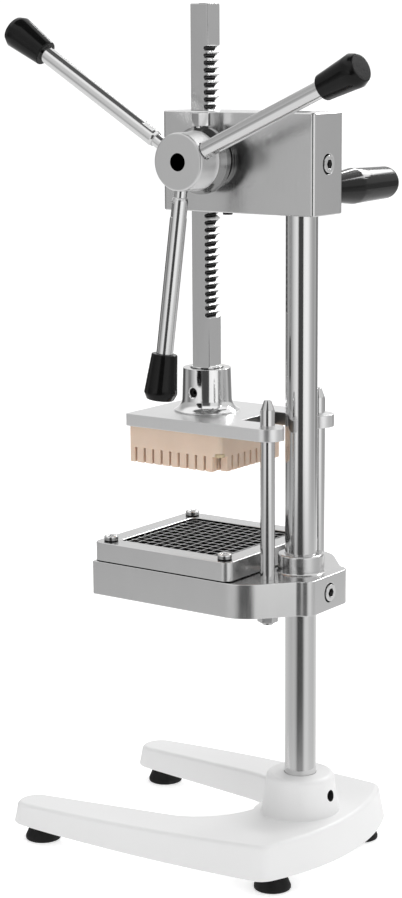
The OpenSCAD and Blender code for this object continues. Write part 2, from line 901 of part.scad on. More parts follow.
module grip() {
    ridge_end = ridge_l + groove_l;
    color("black") placed() translate([-head_half, 0, grip_z]) rotate([0, -90, 0])
        difference() {
            rotate_extrude() {
                polygon([[0, 0], [grip_d1 / 2, 0], [grip_d2 / 2, ridge_l],
                    [grip_d3 / 2, ridge_end], [grip_d4 / 2, grip_l - grip_round],
                    [grip_d4 / 2 - grip_round, grip_l - grip_round],
                    [grip_d4 / 2 - grip_round, grip_l], [0, grip_l]]);
                translate([grip_d4 / 2 - grip_round, grip_l - grip_round]) intersection() {
                    circle(r = grip_round);
                    square(grip_round);
                }
            }
            translate([0, 0, -EPS]) cylinder(h = grip_stud_out + DEEPER,
                r = grip_stud_d / 2 + fit_gap);
        }
}

// ---- ram ----

module gullet() {
    mouth = rack_pitch / 2 + backlash / 2 + 2 * module_mm * tan(PRESSURE_ANGLE);
    round_h = gullet_h - gullet_round;
    foot = mouth / 2 - round_h * tan(PRESSURE_ANGLE);
    polygon([[EPS, -mouth / 2], [EPS, mouth / 2], [-round_h, foot], [-round_h, -foot]]);
    translate([-round_h, 0]) circle(r = gullet_round);
}

module rack() {
    color("silver") placed() at_ram() rotate([90, 0, 90]) translate([0, 0, -rack_half])
        linear_extrude(height = rack_w) difference() {
            translate([-rack_half, plate_top]) square([rack_w, rack_top - plate_top]);
            for (i = [-gullets_down:gullets_up])
                translate([rack_half, hub_z + i * rack_pitch]) gullet();
        }
}

module socket() {
    waist = socket_r + socket_taper;
    flare_z = plate_top + socket_foot_h + flare_r;
    color("silver") placed() at_ram() difference() {
        rotate_extrude() difference() {
            polygon([[0, plate_top], [socket_foot_r, plate_top],
                [socket_foot_r, flare_z], [waist, flare_z],
                [socket_r, socket_top], [lip_d / 2, socket_top],
                [lip_d / 2, socket_top + lip_h], [0, socket_top + lip_h]]);
            translate([waist + flare_r, flare_z]) circle(r = flare_r);
            translate([waist + flare_r, plate_top + socket_foot_h])
                square([flare_r, 2 * flare_r]);
        }
        translate([0, 0, plate_top + socket_h / 2])
            cube([rack_hole, rack_hole, FAR], center = true);
        translate([0, 0, plate_top + socket_screw_z])
            along_x(0, FAR, socket_screw_d / 2 + fit_gap);
        translate([0, 0, plate_top + socket_screw_z]) rotate([0, 90, 0])
            translate([0, 0, socket_r - SCREW_MOUTH]) cylinder(h = FAR,
                r1 = socket_screw_d / 2 + fit_gap, r2 = socket_screw_d / 2 + fit_gap + FAR);
        at_socket_bolts() translate([0, 0, plate_top - EPS])
            cylinder(h = socket_bolt_in + DEEPER, r = socket_bolt_d / 2 + fit_gap);
    }
}

module socket_screw() {
    color("dimgray") placed() at_ram() translate([0, 0, plate_top + socket_screw_z])
        rotate([0, 0, -90]) set_screw_y(rack_half, socket_screw_d);
}

module socket_bolts() {
    color("dimgray") placed() at_ram() at_socket_bolts() translate([0, 0, plate_z]) {
        cylinder(h = plate_h + socket_bolt_in, r = socket_bolt_d / 2);
        cylinder(h = socket_bolt_d / 2, r1 = socket_bolt_d, r2 = socket_bolt_d / 2);
    }
}

module plate_plan() {
    difference() {
        union() {
            translate([-plate_half + plate_round, -plate_front])
                square([2 * (plate_half - plate_round), plate_front - rod_y]);
            translate([-plate_half, -plate_front + plate_round])
                square([2 * plate_half, plate_front - plate_round - rod_y]);
            for (s = [-1, 1]) {
                translate([s * rod_x, -rod_y]) circle(r = ear_r);
                translate([s * (plate_half - plate_round), -plate_front + plate_round])
                    circle(r = plate_round);
            }
        }
        translate([-notch_half, -notch_y]) square([2 * notch_half, FAR]);
        for (s = [-1, 1]) translate([s * rod_x, -rod_y]) circle(r = rod_r + run_gap);
    }
}

module plate() {
    color("lightgray") placed() difference() {
        translate([0, 0, plate_z]) linear_extrude(height = plate_h) plate_plan();
        at_pusher_screws() translate([0, 0, plate_z - EPS])
            cylinder(h = pusher_screw_in + DEEPER, r = pusher_screw_d / 2 + fit_gap);
        at_ram() at_socket_bolts() translate([0, 0, plate_z - EPS]) {
            cylinder(h = plate_h + 2 * EPS, r = socket_bolt_d / 2 + fit_gap);
            cylinder(h = socket_bolt_d / 2 + fit_gap, r1 = socket_bolt_d + fit_gap,
                r2 = socket_bolt_d / 2);
        }
    }
}

module pusher() {
    color("wheat") placed() difference() {
        at_ram() difference() {
            translate([0, 0, pusher_z]) linear_extrude(height = pusher_h)
                rounded_square(pusher_w, pusher_w, pusher_round);
            for (i = [1:cells - 1]) for (a = [0, 90]) rotate([0, 0, a])
                translate([0, (i - cells / 2) * fry, pusher_z + slot_h / 2 - EPS])
                    cube([pusher_w + 2 * DEEPER, slot_w, slot_h], center = true);
        }
        at_pusher_screws() {
            translate([0, 0, pusher_z + slot_h / 2 - EPS])
                cube([fry + slot_w, fry + slot_w, slot_h], center = true);
            translate([0, 0, pusher_z]) cylinder(h = slot_h + pusher_screw_head,
                r = pusher_screw_head_d / 2 + fit_gap);
            translate([0, 0, pusher_z]) cylinder(h = pusher_h + EPS,
                r = pusher_screw_d / 2 + fit_gap);
        }
    }
}

module pusher_screws() {
    head_z = pusher_z + slot_h;
    color("silver") placed() at_pusher_screws() difference() {
        union() {
            translate([0, 0, head_z])
                cylinder(h = pusher_screw_head, r = pusher_screw_head_d / 2);
            translate([0, 0, head_z])
                cylinder(h = plate_z + pusher_screw_in - head_z, r = pusher_screw_d / 2);
        }
        for (a = [0, 90]) translate([0, 0, head_z]) rotate([0, 0, a])
            cube([pusher_screw_d, driver_w, pusher_screw_head], center = true);
    }
}

// ---- handwheel ----

module shaft() {
    color("silver") placed() at_hub() difference() {
        along_x(shaft_x0, shaft_x1 - shaft_x0, shaft_r);
        translate([0, 0, shaft_r]) cube([key_l + 2 * fit_gap, key_w + 2 * fit_gap,
            key_w + 2 * fit_gap], center = true);
    }
}

function inv(a) = tan(a) * 180 / PI - a;
half_tooth = (rack_pitch / 2 - backlash / 2) / pitch_r / 2 * 180 / PI + inv(PRESSURE_ANGLE);
STEPS = 6;
function flank(k) = let (r = base_circle + (tip_r - base_circle) * k / STEPS)
    [r, half_tooth - inv(acos(base_circle / r))];
function polar(r, a) = [r * cos(a), r * sin(a)];
tooth_points = concat([polar(root_r, -half_tooth)],
    [for (k = [0:STEPS]) polar(flank(k)[0], -flank(k)[1])],
    [for (k = [STEPS:-1:0]) polar(flank(k)[0], flank(k)[1])],
    [polar(root_r, half_tooth)]);

module pinion() {
    color("gray") placed() at_hub() difference() {
        rotate([0, -90, 0]) translate([0, 0, -pinion_w / 2]) linear_extrude(height = pinion_w) {
            circle(r = root_r);
            for (i = [0:pinion_teeth - 1])
                rotate([0, 0, -90 + i * 360 / pinion_teeth]) polygon(tooth_points);
        }
        along_x(-FAR / 2, FAR, shaft_r + fit_gap);
        translate([0, 0, shaft_r]) cube([FAR, key_w + 2 * fit_gap, key_w + 2 * fit_gap],
            center = true);
    }
}

module pinion_key() {
    color("dimgray") placed() at_hub() translate([0, 0, shaft_r])
        cube([key_l, key_w, key_w], center = true);
}

module hub_profile() {
    difference() {
        polygon([[0, neck_x], [neck_d / 2, neck_x], [neck_d / 2, rim_x0], [rim_r, rim_x0],
            [rim_r, barrel_x], [hub_r, barrel_x], [hub_r, hub_face - hub_round],
            [hub_r - hub_round, hub_face - hub_round], [hub_r - hub_round, hub_face],
            [0, hub_face]]);
        translate([rim_r, rim_x1 + flare_l]) intersection() {
            flare_circle();
            square([FAR, 2 * FAR], center = true);
        }
    }
    translate([hub_r - hub_round, hub_face - hub_round]) circle(r = hub_round);
}

// concave flare between barrel and rim: a circle through both edges
module flare_circle() {
    rise = rim_r - hub_r;
    r = (pow(rise, 2) + pow(flare_l, 2)) / (2 * rise);
    translate([-rise + r, 0]) circle(r = r, $fn = FINE);
}

module hub() {
    color("silver") placed() at_hub() difference() {
        rotate([0, 90, 0]) rotate_extrude($fn = FINE) hub_profile();
        along_x(0, FAR, shaft_r + fit_gap);
        for (i = [0:2]) arm_axis(i) {
            translate([0, 0, arm_bore_in]) cylinder(h = FAR, r = arm_thread_d / 2 + fit_gap);
            translate([0, 0, hub_r - arm_recess]) cylinder(h = FAR, r = arm_r + fit_gap);
        }
        translate([lock_x, 0, 0]) rotate([lock_angle - 180, 0, 0])
            cylinder(h = FAR, r = lock_d / 2 + fit_gap);
    }
}

// an arm's own axis as +Z: turned about X from straight down, then leaned out
module arm_axis(i) {
    translate([arm_x, 0, 0]) rotate([turns[i] + 180, 0, 0]) rotate([0, arm_rake, 0])
        children();
}

module arms() {
    color("silver") placed() at_hub() for (i = [0:2]) arm_axis(i)
        translate([0, 0, seats[i]]) difference() {
            arm();
            rotate([0, 0, FLAT_TURNS[i]]) for (s = [-1, 1])
                translate([s * (arm_flat_w + arm_d) / 2, 0, arm_flat_in + arm_flat_l / 2])
                    cube([arm_d, 2 * arm_d, arm_flat_l], center = true);
        }
}

// one arm, its shoulder at zero
module arm() {
    translate([0, 0, -arm_thread_l]) cylinder(h = arm_thread_l + EPS, r = arm_thread_d / 2);
    cylinder(h = arm_cone, r1 = arm_thread_d / 2 + ARM_LEDGE, r2 = arm_r);
    translate([0, 0, arm_cone]) cylinder(h = arm_l - arm_cone, r = arm_r);
    translate([0, 0, arm_l - EPS]) cylinder(h = knob_stud_l, r = knob_stud_d / 2);
}

module knobs() {
    color("black") placed() at_hub() for (i = [0:2]) arm_axis(i)
        translate([0, 0, seats[i] + arm_l]) difference() {
            rotate_extrude() {
                polygon([[0, 0], [knob_d1 / 2, 0], [knob_d2 / 2, knob_l - knob_bevel_l],
                    [knob_d2 / 2 - knob_bevel, knob_l], [0, knob_l]]);
            }
            translate([0, 0, -EPS]) cylinder(h = knob_stud_l + 1,
                r = knob_stud_d / 2 + fit_gap);
        }
}

module lock_bolt() {
    color("silver") placed() at_hub() translate([lock_x, 0, 0])
        rotate([lock_angle - 180, 0, 0]) {
            translate([0, 0, shaft_r]) cylinder(h = rim_r - shaft_r + EPS, r = lock_d / 2);
            translate([0, 0, rim_r]) rotate([0, 0, lock_turn])
                cylinder(h = lock_h, r = lock_af / sqrt(3), $fn = HEX);
        }
}

base();
feet();
foot_screws();
base_screw();
column();
table();
table_screw();
blade_frame();
blades_across();
blades_along();
frame_screws();
guide_rods();
rod_nuts();
head();
head_screw();
bush();
plug_screw();
grip_stud();
grip();
rack();
socket();
socket_screw();
socket_bolts();
plate();
pusher();
pusher_screws();
shaft();
pinion();
pinion_key();
hub();
arms();
knobs();
lock_bolt();
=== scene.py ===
import math

import bmesh
import bpy
from mathutils import Matrix, Vector


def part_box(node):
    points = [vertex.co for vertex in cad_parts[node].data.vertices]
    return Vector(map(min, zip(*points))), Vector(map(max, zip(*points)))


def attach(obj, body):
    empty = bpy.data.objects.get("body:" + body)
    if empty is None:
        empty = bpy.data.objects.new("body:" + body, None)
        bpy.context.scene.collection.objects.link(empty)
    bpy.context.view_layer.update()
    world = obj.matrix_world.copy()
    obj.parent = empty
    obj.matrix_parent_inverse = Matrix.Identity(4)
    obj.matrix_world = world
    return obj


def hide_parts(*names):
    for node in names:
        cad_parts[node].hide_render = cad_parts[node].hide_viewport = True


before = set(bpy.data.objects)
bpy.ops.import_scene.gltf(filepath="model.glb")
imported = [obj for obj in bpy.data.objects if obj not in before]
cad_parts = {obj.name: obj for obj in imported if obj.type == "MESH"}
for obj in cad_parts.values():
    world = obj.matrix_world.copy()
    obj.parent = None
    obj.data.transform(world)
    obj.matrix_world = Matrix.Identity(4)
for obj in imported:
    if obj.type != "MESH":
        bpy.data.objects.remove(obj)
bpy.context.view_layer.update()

# ---- Where it stands ----
# A pale worktop that runs out of sight, and the camera a long step away from the
# handwheel's side. Soft white panels stand all round, with a dark gap behind the
# camera, and two soft boxes add to them from above and from behind.
scene = bpy.context.scene
scene.view_settings.view_transform = "Standard"
mm = 0.001

column_low, column_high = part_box("column")
column_x = (column_low.x + column_high.x) / 2
column_y = (column_low.y + column_high.y) / 2

view_azimuth = math.radians(125.69)
view_pitch = math.radians(10.92)
view_roll = math.radians(-0.35)
view_distance = 1948.58 * mm
view_side = -93.25 * mm
view_height = 777.56 * mm
lens = 85.51

outward = Vector((math.sin(view_azimuth), -math.cos(view_azimuth), 0))
sideways = Vector((math.cos(view_azimuth), math.sin(view_azimuth), 0))
forward = -outward * math.cos(view_pitch) - Vector((0, 0, math.sin(view_pitch)))
right = sideways * math.cos(view_roll) + sideways.cross(forward) * math.sin(view_roll)
camera_turn = Matrix((right, right.cross(forward), -forward)).transposed()
eye = Vector((column_x, column_y, view_height)) + outward * view_distance + sideways * view_side
camera = bpy.data.objects.new("camera", bpy.data.cameras.new("camera"))
camera.data.lens = lens
camera.data.clip_end = 200
camera.matrix_world = Matrix.Translation(eye) @ camera_turn.to_4x4()
scene.collection.objects.link(camera)
scene.camera = camera


class Wire:
    """A value in a finish: arithmetic on it adds Math nodes."""

    def __init__(self, skin, socket):
        self.skin, self.socket = skin, socket

    def _math(self, operation, first, second):
        return self.skin.node("Math", {"operation": operation}, {0: first, 1: second})

    def __add__(self, other):
        return self._math("ADD", self, other)

    __radd__ = __add__

    def __sub__(self, other):
        return self._math("SUBTRACT", self, other)

    def __rsub__(self, other):
        return self._math("SUBTRACT", other, self)

    def __mul__(self, other):
        return self._math("MULTIPLY", self, other)

    __rmul__ = __mul__

    def __truediv__(self, other):
        return self._math("DIVIDE", self, other)

    def __rtruediv__(self, other):
        return self._math("DIVIDE", other, self)

    def __gt__(self, other):
        return self._math("GREATER_THAN", self, other)

    def __lt__(self, other):
        return self._math("LESS_THAN", self, other)

    def __abs__(self):
        return self._math("ABSOLUTE", self, 0.0)


class Skin:
    """The nodes of one finish, or of the light all round."""

    def __init__(self, tree):
        self.tree = tree
        self.tree.nodes.clear()

    def node(self, kind, settings={}, sockets={}, out=0):
        made = self.tree.nodes.new("ShaderNode" + kind)
        for key, value in settings.items():
            if key == "stops":
                while len(made.color_ramp.elements) < len(value):
                    made.color_ramp.elements.new(1)
                for element, (place, shade) in zip(made.color_ramp.elements, value):
                    element.position = place
                    element.color = (shade, shade, shade, 1)
            else:
                setattr(made, key, value)
        for key, value in sockets.items():
            if isinstance(value, Wire):
                self.tree.links.new(value.socket, made.inputs[key])
            else:
                made.inputs[key].default_value = value
        return Wire(self, made.outputs[out]) if len(made.outputs) else None

    def noise(self, stretch, size, detail=3.0):
        """Noise on the piece's own coordinates: features of about size, in metres."""
        here = self.node("TexCoord", out="Object")
        spread = self.node("Mapping", {}, {"Vector": here, "Scale": stretch})
        return self.node("TexNoise", {}, {"Vector": spread, "Scale": 1 / size, "Detail": detail})

    def ramp(self, share, *stops):
        return self.node("ValToRGB", {"stops": stops}, {0: share})

    def tint(self, share, low, high):
        return self.node("Mix", {"data_type": "RGBA"}, {0: share, 6: low, 7: high}, 2)

    def bump(self, height, depth):
        return self.node("Bump", {}, {"Height": height, "Distance": depth})

    def at(self, axis, start=0.0):
        """One of the piece's own coordinates, in mm from the column's axis or from start."""
        here = self.node("TexCoord", out="Object")
        zero = {"X": column_x, "Y": column_y, "Z": 0.0}[axis]
        return (self.node("SeparateXYZ", {}, {0: here}, axis) - zero) / mm - start

    def step(self, value, low, high):
        """0 below low and 1 above high, with a soft change between."""
        return self.node("MapRange", {"interpolation_type": "SMOOTHSTEP"},
                         {0: value, 1: low, 2: high, 3: 0.0, 4: 1.0})

    def close(self, **sockets):
        names = {key.replace("_", " "): value for key, value in sockets.items()}
        shader = self.node("BsdfPrincipled", {}, names)
        self.node("OutputMaterial", {}, {"Surface": shader})


def grey(value):
    return (value, value, value, 1)


def new_skin(name):
    material = bpy.data.materials.new(name)
    material.use_nodes = True
    return material, Skin(material.node_tree)


even = (1, 1, 1)  # noise stretched along no axis
# the light all round, as pairs of a compass direction counted from the camera's and a
# brightness: what upright faces show, what they show low down, and what lies higher up
PANELS = ((-180, 1.1), (-168, 1.05), (-152, 0.2), (-140, 0.05), (-130, 0.1), (-112, 0.5),
          (-90, 0.2), (-72, 0.5), (-54, 0.84), (-38, 1.0), (-30, 0.95), (-22, 0.07),
          (8, 0.07), (11, 1.05), (30, 1.18), (46, 1.1), (62, 0.68), (80, 0.48), (98, 0.44),
          (108, 0.62), (123, 0.24), (150, 0.3), (168, 1.05), (180, 1.1))
LOWER = ((-180, 1.1), (-168, 1.0), (-140, 0.72), (-110, 0.66), (-90, 0.6), (-72, 0.56),
         (-54, 0.6), (-40, 0.5), (-32, 0.3), (-24, 0.07), (10, 0.07), (17, 0.35), (23, 0.55),
         (30, 0.78), (46, 0.8), (62, 0.68), (80, 0.64), (100, 0.62), (118, 0.75), (140, 0.9),
         (168, 1.05), (180, 1.1))
UPPER = ((-180, 0.8), (-160, 0.8), (-140, 0.45), (-100, 0.5), (-60, 0.7), (-29, 0.9),
         (-20, 0.1), (11, 0.1), (17, 0.9), (60, 0.8), (100, 0.8), (125, 0.8), (150, 0.5),
         (164, 0.8), (180, 0.8))
ring_glow, zenith_glow, ground_glow = 1.1, 0.12, 0.9
# the heights of a direction between which each of these takes over
lower_from, upper_from, ring_from = (-0.19, -0.24), (0.03, 0.15), (0.5, 0.7)
zenith_from, ground_from = (0.86, 0.91), (-0.32, -0.37)

world = bpy.data.worlds.new("soft_panels")
world.use_nodes = True
scene.world = world
sky = Skin(world.node_tree)
ray = sky.node("TexCoord", out="Generated")
ray_out = sky.node("VectorMath", {"operation": "DOT_PRODUCT"}, {0: ray, 1: outward}, "Value")
ray_side = sky.node("VectorMath", {"operation": "DOT_PRODUCT"}, {0: ray, 1: sideways}, "Value")
ray_up = sky.node("SeparateXYZ", {}, {0: ray}, "Z")
ray_turn = sky.node("Math", {"operation": "ARCTAN2"}, {0: ray_side, 1: ray_out})
compass = ray_turn / (2 * math.pi) + 0.5
glow, lower, upper = (sky.ramp(compass, *(((way + 180) / 360, light) for way, light in stops))
                      for stops in (PANELS, LOWER, UPPER))
for heights, light in ((lower_from, lower), (upper_from, upper), (ring_from, grey(ring_glow)),
                       (zenith_from, grey(zenith_glow)), (ground_from, grey(ground_glow))):
    glow = sky.tint(sky.step(ray_up, *heights), glow, light)
sky.node("OutputWorld", {}, {0: sky.node("Background", {}, {"Color": glow, "Strength": 1.0})})

# the soft boxes, in metres and watts: a wide one above, and a long one behind that
# draws the bright line on round black parts
machine_mid = Vector((column_x, column_y, 0.45))
top_place, top_size, top_power = Vector((0.3, 0.1, 2.4)), 1.6, 12.0
back_wide, back_deep, back_power, back_away = 2.2, 0.32, 27.0, 2.5
back_way, back_rise = math.radians(142), math.radians(34.5)
to_back = ((outward * math.cos(back_way) + sideways * math.sin(back_way)) * math.cos(back_rise)
           + Vector((0, 0, math.sin(back_rise))))
for name, wide, deep, power, place in (
        ("top_box", top_size, top_size, top_power, top_place),
        ("back_box", back_wide, back_deep, back_power, machine_mid + to_back * back_away)):
    lamp = bpy.data.lights.new(name, "AREA")
    lamp.shape = "RECTANGLE"
    lamp.size, lamp.size_y = wide, deep
    lamp.energy = power
    box = bpy.data.objects.new(name, lamp)
    towards = (machine_mid - place).to_track_quat("-Z", "Y").to_matrix().to_4x4()
    box.matrix_world = Matrix.Translation(place) @ towards
    box.visible_glossy = name == "back_box"
    scene.collection.objects.link(box)

floor_r = 40  # metres
top_material, top_skin = new_skin("worktop_white")
patch = top_skin.noise(even, size=0.3)
top_skin.close(Base_Color=top_skin.tint(patch, grey(0.93), grey(0.95)), Roughness=0.6,
               Emission_Color=grey(1.0), Emission_Strength=0.4)
ground = bmesh.new()
bmesh.ops.create_circle(ground, cap_ends=True, radius=floor_r, segments=64)
ground_mesh = bpy.data.meshes.new("worktop")
ground.to_mesh(ground_mesh)
ground_mesh.materials.append(top_material)
worktop = bpy.data.objects.new("worktop", ground_mesh)
scene.collection.objects.link(worktop)
worktop.visible_glossy = False  # polished walls show the panels, not the worktop

# ---- Base ----
# One heavy U-shaped iron casting, its walls drafted and its top sloping down to
# the toes, with a round boss that holds the column. It is sprayed with white
# enamel, which rounds every edge.
foot_h = 16.7
toe_tip, toe_r, widest_y, side_r = 266.5, 21.5, 178, 1400
base_half_w, heel_y, heel_r, back_r = 125.3, 16.5, 20, 235
bay_r, bay_end, draft = 66, 46, math.radians(10.8)
toe_h, heel_h = 20.3, 33.7
rim_bevel, edge_r = 0.8, 4.5
wall_shares, edge_steps = (0.35, 0.7, 1.0), 7
boss_r, boss_foot_r, boss_top, boss_edge, boss_fillet = 32, 37.5, 87, 5, 1.5
boss_root, boss_skirt, boss_sink = 14, 8, 0.05
column_r, bore_gap, bore_floor = 15, 0.1, 7
lead_w, lead_depth, past = 1.5, 0.6, 1
base_screw_z, base_screw_r, screw_gap, screw_from, screw_to = 69, 5, 0.4, 12, 60
# how far apart the outline's points lie
back_step, round_step, side_step, bay_step, straight_step = 5, 2, 6, 3, 8


def span(centre, r, start, stop, step, sign=1):
    """Points of an arc from start to stop in degrees, each with its outward direction."""
    count = max(2, int(abs(stop - start) * math.pi / 180 * r / step))
    out = []
    for k in range(count + 1):
        a = math.radians(start + (stop - start) * k / count)
        d = Vector((math.cos(a), math.sin(a)))
        out.append((Vector(centre) + d * r, d * sign))
    return out


def half_outline():
    """The right half of the casting at floor level, from the middle of its back, round
    the heel, along the side, round the toe and up the bay."""
    side_c = base_half_w - side_r
    toe_y = toe_tip - toe_r
    toe_x = side_c + math.sqrt((side_r - toe_r) ** 2 - (toe_y - widest_y) ** 2)
    heel_x = side_c + math.sqrt((side_r - heel_r) ** 2 - (heel_y + widest_y) ** 2)
    back_c = heel_y - math.sqrt((back_r - heel_r) ** 2 - heel_x ** 2)
    bay_y = bay_end + bay_r
    back_a = math.degrees(math.atan2(heel_y - back_c, heel_x))
    side_a = math.degrees(math.atan2(heel_y + widest_y, heel_x - side_c))
    toe_a = math.degrees(math.atan2(widest_y - toe_y, toe_x - side_c))
    mouth = Vector((toe_x - toe_r, bay_y - toe_y))
    bay_a = math.degrees(math.atan2(mouth.y, mouth.x) + math.acos(bay_r / mouth.length))
    points = span((0, back_c), back_r, 90, back_a, back_step)
    points += span((heel_x, heel_y), heel_r, back_a, side_a, round_step)
    points += span((side_c, -widest_y), side_r, side_a, toe_a, side_step)
    points += span((toe_x, -toe_y), toe_r, toe_a, -180, round_step)
    bay = span((0, -bay_y), bay_r, bay_a, 90, bay_step, -1)
    first, last = points[-1][0], bay[0][0]
    run = int((last - first).length / straight_step)
    points += [(first.lerp(last, k / run), bay[0][1]) for k in range(1, run)]
    return points + bay


def base_top(y):
    """The height of the sloping top."""
    base_back = max(p.y for p, n in outline)
    return foot_h + toe_h + (heel_h - toe_h) * (y + toe_tip) / (base_back + toe_tip)


right_half = half_outline()
left_half = [(Vector((-p.x, p.y)), Vector((-n.x, n.y)))
             for p, n in reversed(right_half[1:-1])]
outline = right_half + left_half

to_metres = Matrix.Translation((column_x, column_y, 0)) @ Matrix.Scale(mm, 4)


def skin_loops(bm, loops, close=True):
    """Joins rings of equal length with quads, and closes the first and last ring."""
    count = len(loops[0])
    for below, above in zip(loops, loops[1:]):
        for k in range(count):
            bm.faces.new((below[k], below[(k + 1) % count], above[(k + 1) % count], above[k]))
    if close:
        bm.faces.new(list(reversed(loops[0])))
        bm.faces.new(loops[-1])


def base_body():
    """Rings from the floor side up: a small bevel, the drafted wall, the round edge."""
    bm = bmesh.new()
    loops = [[bm.verts.new((*(p - n * inset), foot_h + height)) for p, n in outline]
             for inset, height in ((rim_bevel, 0.0), (0.0, rim_bevel))]
    # the wall ends where the edge's round begins
    wall_down = edge_r * (1 - math.sin(draft))
    for share in wall_shares:
        ring = []
        for p, n in outline:
            wall_h = base_top(p.y) - foot_h - wall_down
            height = rim_bevel + (wall_h - rim_bevel) * share
            ring.append(bm.verts.new((*(p - n * math.tan(draft) * height), foot_h + height)))
        loops.append(ring)
    for k in range(1, edge_steps + 1):
        ring = []
        a = draft + (math.pi / 2 - draft) * k / edge_steps
        for p, n in outline:
            wall_h = base_top(p.y) - foot_h - wall_down
            q = p - n * (math.tan(draft) * wall_h + edge_r * (math.cos(draft) - math.cos(a)))
            rise = base_top(q.y) - foot_h - edge_r * (1 - math.sin(a))
            ring.append(bm.verts.new((*q, foot_h + rise)))
        loops.append(ring)
    skin_loops(bm, loops)
    bmesh.ops.recalc_face_normals(bm, faces=bm.faces)
    return bm


on_axis = 1e-6  # a smaller radius lies on the axis


def rounded_line(points, steps=5):
    """A line of (radius, height, fillet) with each corner rounded by its fillet."""
    out = []
    for k, (x, y, fillet) in enumerate(points):
        here = Vector((x, y))
        if fillet == 0 or k in (0, len(points) - 1):
            out.append(here)
            continue
        to_last = (Vector(points[k - 1][:2]) - here).normalized()
        to_next = (Vector(points[k + 1][:2]) - here).normalized()
        half = to_last.angle(to_next) / 2
        reach = fillet / math.tan(half)
        centre = here + (to_last + to_next).normalized() * fillet / math.sin(half)
        start, stop = here + to_last * reach - centre, here + to_next * reach - centre
        sweep = start.angle_signed(stop)
        for s in range(steps + 1):
            a = -sweep * s / steps
            out.append(centre + Vector((start.x * math.cos(a) - start.y * math.sin(a),
                                        start.x * math.sin(a) + start.y * math.cos(a))))
    return out


def turned(bm, points, place=Matrix.Identity(4), facets=96, steps=5):
    """Adds a turned solid: points run from the axis at the bottom to the axis at the top."""
    loops, caps = [], []
    for p in rounded_line(points, steps):
        if p.x < on_axis:
            caps.append(bm.verts.new(place @ Vector((0, 0, p.y))))
            continue
        loops.append([bm.verts.new(place @ Vector((p.x * math.cos(a), p.x * math.sin(a), p.y)))
                      for a in (2 * math.pi * k / facets for k in range(facets))])
    skin_loops(bm, loops, close=False)
    for k in range(facets):
        nxt = (k + 1) % facets
        bm.faces.new((caps[0], loops[0][nxt], loops[0][k]))
        bm.faces.new((caps[1], loops[-1][k], loops[-1][nxt]))
    return bm


def mesh_of(bm):
    mesh = bpy.data.meshes.new("shape")
    bm.to_mesh(mesh)
    bm.free()
    return mesh


def evaluated_mesh(thing):
    bpy.context.view_layer.update()
    return bpy.data.meshes.new_from_object(
        thing.evaluated_get(bpy.context.evaluated_depsgraph_get()))


def changed(mesh, kind, settings):
    """The mesh after one modifier."""
    work = bpy.data.objects.new("work", mesh)
    scene.collection.objects.link(work)
    modifier = work.modifiers.new(kind.lower(), kind)
    for key, value in settings.items():
        setattr(modifier, key, value)
    result = evaluated_mesh(work)
    bpy.data.objects.remove(work)
    return result


def joined(mesh, tool, operation):
    """The mesh with another one added to it or cut out of it."""
    cutter = bpy.data.objects.new("tool", tool)
    scene.collection.objects.link(cutter)
    settings = {"operation": operation, "object": cutter, "solver": "EXACT"}
    result = changed(mesh, "BOOLEAN", settings)
    bpy.data.objects.remove(cutter)
    return result


def finished(name, mesh, body, slot, material, *nodes, smooth=35):
    """Puts a finished mesh in the scene, with its finish, on its body."""
    mesh.shade_smooth()
    mesh.set_sharp_from_angle(angle=math.radians(smooth))
    mesh = changed(mesh, "WEIGHTED_NORMAL", {"keep_sharp": True, "weight": 80})
    mesh.name = name
    mesh.materials.clear()
    mesh.materials.append(material)
    piece = bpy.data.objects.new(name, mesh)
    scene.collection.objects.link(piece)
    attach(piece, body)
    if nodes:
        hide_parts(*nodes)
    return piece


boss = bmesh.new()
boss_low, boss_foot, skirt_r = foot_h + boss_root, base_top(0), boss_foot_r + boss_skirt
turned(boss, ((0, boss_low, 0), (skirt_r, boss_low, 0), (skirt_r, boss_foot, 0),
              (boss_foot_r, boss_foot, boss_fillet), (boss_r, boss_top, boss_edge),
              (0, boss_top, 0)), steps=8)
for vert in boss.verts:
    if vert.co.z > boss_low + past:
        # the foot follows the casting's slope, a hair below it
        share = max(0.0, 1 - (vert.co.z - boss_foot) / (boss_top - boss_foot))
        vert.co.z += (base_top(vert.co.y) - boss_foot) * share - boss_sink
base_mesh = joined(mesh_of(base_body()), mesh_of(boss), "UNION")
holes = bmesh.new()
bore_r = column_r + bore_gap
turned(holes, ((0, foot_h + bore_floor, 0), (bore_r, foot_h + bore_floor, 0),
               (bore_r, boss_top - lead_depth, 0), (column_r + lead_w, boss_top + past, 0),
               (0, boss_top + past, 0)))
# the set screw's hole, from the rear
screw_hole_r = base_screw_r + screw_gap
turned(holes, ((0, screw_from, 0), (screw_hole_r, screw_from, 0), (screw_hole_r, screw_to, 0),
               (0, screw_to, 0)),
       Matrix.Translation((0, 0, base_screw_z)) @ Matrix.Rotation(-math.pi / 2, 4, "X"),
       facets=64)
base_mesh = joined(base_mesh, mesh_of(holes), "DIFFERENCE")
base_mesh.transform(to_metres)

enamel, skin = new_skin("white_enamel")
drift = skin.noise(even, size=0.09)
peel = skin.noise(even, size=0.0035, detail=2.0)
paint = skin.tint(drift, grey(0.79), grey(0.83))
# painted shade: the inside of the set screw's hole, which no paint reaches, is coloured near black
side, up = skin.at("X"), skin.at("Z", base_screw_z)
hole_shade = (side * side + up * up < (screw_hole_r + 0.05) ** 2) * (skin.at("Y") > 0)
skin.close(Base_Color=skin.tint(hole_shade, paint, grey(0.03)), Roughness=0.36 + drift * 0.08,
           Specular_IOR_Level=0.4, Coat_Weight=0.06, Coat_Roughness=0.15,
           Normal=skin.bump(peel, depth=0.00003))
finished("base_casting", base_mesh, "frame", "white_enamel", enamel, "base", smooth=40)

